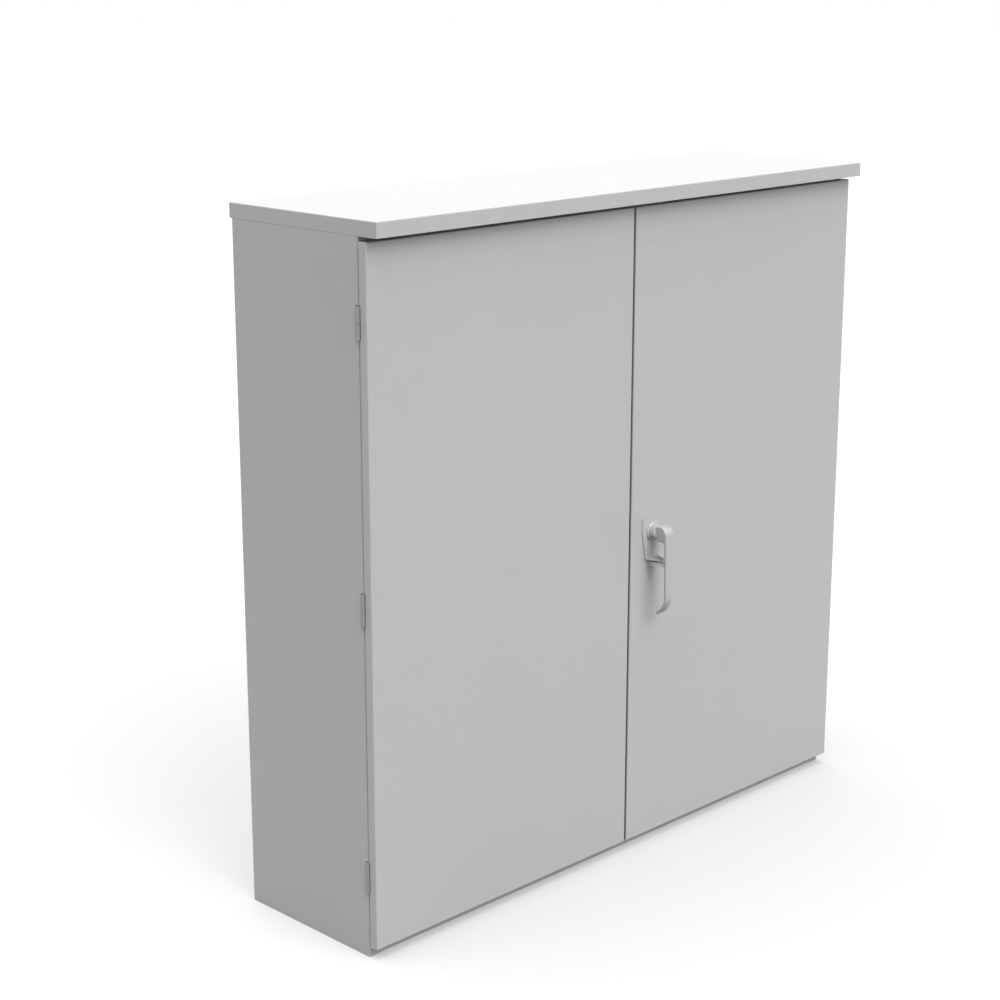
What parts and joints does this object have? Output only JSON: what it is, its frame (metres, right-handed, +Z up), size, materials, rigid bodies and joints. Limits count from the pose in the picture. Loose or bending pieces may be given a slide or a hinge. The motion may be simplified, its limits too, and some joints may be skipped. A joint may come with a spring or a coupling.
{
  "type": "roadside utility cabinet",
  "caption": "Floor-standing outdoor utility cabinet with hinged double doors, flat canopy roof and a padlockable lever handle that works rack-and-pinion lock rods.",
  "frame": {"origin": "centre of the body's footprint on the ground, which is the centre of the four anchor holes", "axes": "+Z up, +X to the right seen from the front, doors facing -Y"},
  "size_m": [1.209, 0.3655, 1.1953],
  "materials": {
    "cabinet_paint": "fine-textured light-grey powder coat",
    "handle_metal": "matt chromed zinc casting",
    "zinc_plate": "zinc plated steel",
    "hinge_steel": "dull zinc plated steel",
    "fastener_steel": "bright zinc plated steel",
    "rivet_paint": "painted with the panel",
    "lock_casting": "die-cast, as cast",
    "earth_brass": "rolled bar",
    "black_moulding": "moulded nylon",
    "seal_rubber": "foamed rubber"
  },
  "bodies": {
    "cabinet": {"left_side_panel": "cabinet_paint", "right_side_panel": "cabinet_paint", "back_panel": "cabinet_paint", "top_panel": "cabinet_paint", "roof": "cabinet_paint", "front_sill": "cabinet_paint", "roof_bearer_front": "zinc_plate", "roof_bearer_back": "zinc_plate", "rear_base_rail": "zinc_plate", "left_base_rail": "zinc_plate", "right_base_rail": "zinc_plate", "mounting_rail_left": "zinc_plate", "mounting_rail_right": "zinc_plate", "mounting_plate": "zinc_plate", "cable_rail": "zinc_plate", "left_hinge_frame_halves": "hinge_steel", "right_hinge_frame_halves": "hinge_steel", "left_hinge_pins": "hinge_steel", "right_hinge_pins": "hinge_steel", "roof_nuts": "fastener_steel", "mounting_plate_screws": "fastener_steel", "cable_rail_bolts": "fastener_steel", "earth_bar_screws": "fastener_steel", "back_rivets": "rivet_paint", "earth_bar": "earth_brass", "earth_bar_posts": "black_moulding"},
    "left_door": {"left_door_panel": "cabinet_paint", "left_door_stiffener": "cabinet_paint", "left_door_seal": "seal_rubber", "meeting_seal": "seal_rubber", "left_hinge_door_halves": "hinge_steel", "left_top_bolt_bracket": "zinc_plate", "left_bottom_bolt_bracket": "zinc_plate"},
    "right_door": {"right_door_panel": "cabinet_paint", "right_door_stiffener": "cabinet_paint", "right_door_seal": "seal_rubber", "right_hinge_door_halves": "hinge_steel", "handle_plate": "cabinet_paint", "handle_plate_screws": "fastener_steel", "handle_collar": "handle_metal", "lock_housing": "lock_casting", "lock_housing_nuts": "fastener_steel", "lock_cover": "zinc_plate", "lock_cover_screws": "fastener_steel", "upper_rod_guide": "black_moulding", "lower_rod_guide": "black_moulding", "guide_rivets": "rivet_paint"},
    "handle": {"handle_lever": "handle_metal", "padlock_lug": "handle_metal", "spindle": "fastener_steel", "spindle_screw": "fastener_steel", "lock_pinion": "fastener_steel"},
    "upper_rod": {"upper_rod": "zinc_plate"},
    "lower_rod": {"lower_rod": "zinc_plate"},
    "left_top_bolt": {"left_top_bolt": "zinc_plate"},
    "left_bottom_bolt": {"left_bottom_bolt": "zinc_plate"}
  },
  "joints": [
    {"name": "left_door_hinge", "type": "hinge", "parent": "cabinet", "child": "left_door", "pos_m": [-0.6, -0.149, 0.5905], "axis": [0, 0, -1], "range_deg": [0, 120]},
    {"name": "right_door_hinge", "type": "hinge", "parent": "cabinet", "child": "right_door", "pos_m": [0.6, -0.149, 0.5905], "axis": [0, 0, 1], "range_deg": [0, 120]},
    {"name": "handle_turn", "type": "hinge", "parent": "right_door", "child": "handle", "pos_m": [0.056, -0.19, 0.5905], "axis": [0, -1, 0], "range_deg": [0, 90]},
    {"name": "upper_rod_slide", "type": "slide", "parent": "right_door", "child": "upper_rod", "axis": [0, 0, 1], "range_m": [-0.01886, 0]},
    {"name": "lower_rod_slide", "type": "slide", "parent": "right_door", "child": "lower_rod", "axis": [0, 0, 1], "range_m": [0, 0.01886]},
    {"name": "left_top_bolt_slide", "type": "slide", "parent": "left_door", "child": "left_top_bolt", "axis": [0, 0, -1], "range_m": [0, 0.018]},
    {"name": "left_bottom_bolt_slide", "type": "slide", "parent": "left_door", "child": "left_bottom_bolt", "axis": [0, 0, 1], "range_m": [0, 0.018]}
  ],
  "couplings": [
    {"joint": "upper_rod_slide", "follows": "handle_turn", "m_per_rad": -0.012},
    {"joint": "lower_rod_slide", "follows": "handle_turn", "m_per_rad": 0.012}
  ]
}
